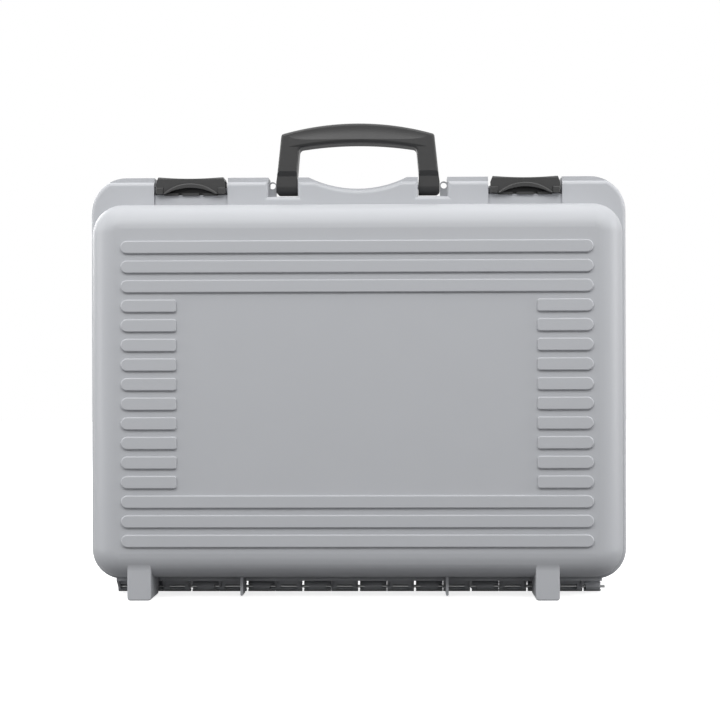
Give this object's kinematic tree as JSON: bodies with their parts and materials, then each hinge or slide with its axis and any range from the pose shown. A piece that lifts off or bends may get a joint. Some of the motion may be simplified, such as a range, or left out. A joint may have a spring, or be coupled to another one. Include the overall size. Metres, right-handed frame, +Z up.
{
  "type": "carry case",
  "caption": "Grey moulded plastic carry case, shut: two ribbed half shells, dark carrying handle, two dark latches along the top, hinge and feet below, foam inserts inside",
  "frame": {"origin": "under the middle of the shut case, on the surface that the feet stand on, in the parting plane of the halves", "axes": "+X along the hinge, to the right seen from the lid side; +Y from lid to base, through the thickness; +Z up, towards the handle"},
  "size_m": [0.441, 0.11, 0.389],
  "materials": {
    "case_plastic": "fine matt texture",
    "dark_plastic": "satin",
    "steel": "drawn wire",
    "foam": "open-cell foam"
  },
  "bodies": {
    "base": {"base_shell": "case_plastic", "base_foam_insert": "foam", "base_foam_pad": "foam", "hinge_rod": "steel", "handle_pin_left": "steel", "handle_pin_right": "steel", "latch_pin_left": "steel", "latch_pin_right": "steel"},
    "lid": {"lid_shell": "case_plastic", "lid_foam": "foam"},
    "handle": {"handle": "dark_plastic"},
    "latch_left": {"latch_lever_left": "dark_plastic"},
    "latch_right": {"latch_lever_right": "dark_plastic"}
  },
  "joints": [
    {"name": "lid_hinge", "type": "hinge", "parent": "base", "child": "lid", "pos_m": [0, 0, 0.0051], "axis": [1, 0, 0], "range_deg": [0, 180]},
    {"name": "handle_hinge", "type": "hinge", "parent": "base", "child": "handle", "pos_m": [0, 0, 0.3373], "axis": [1, 0, 0], "range_deg": [-90, 90]},
    {"name": "latch_left_hinge", "type": "hinge", "parent": "base", "child": "latch_left", "pos_m": [-0.1379, 0.0085, 0.3382], "axis": [-1, 0, 0], "range_deg": [0, 110]},
    {"name": "latch_right_hinge", "type": "hinge", "parent": "base", "child": "latch_right", "pos_m": [0.1379, 0.0085, 0.3382], "axis": [-1, 0, 0], "range_deg": [0, 110]}
  ]
}
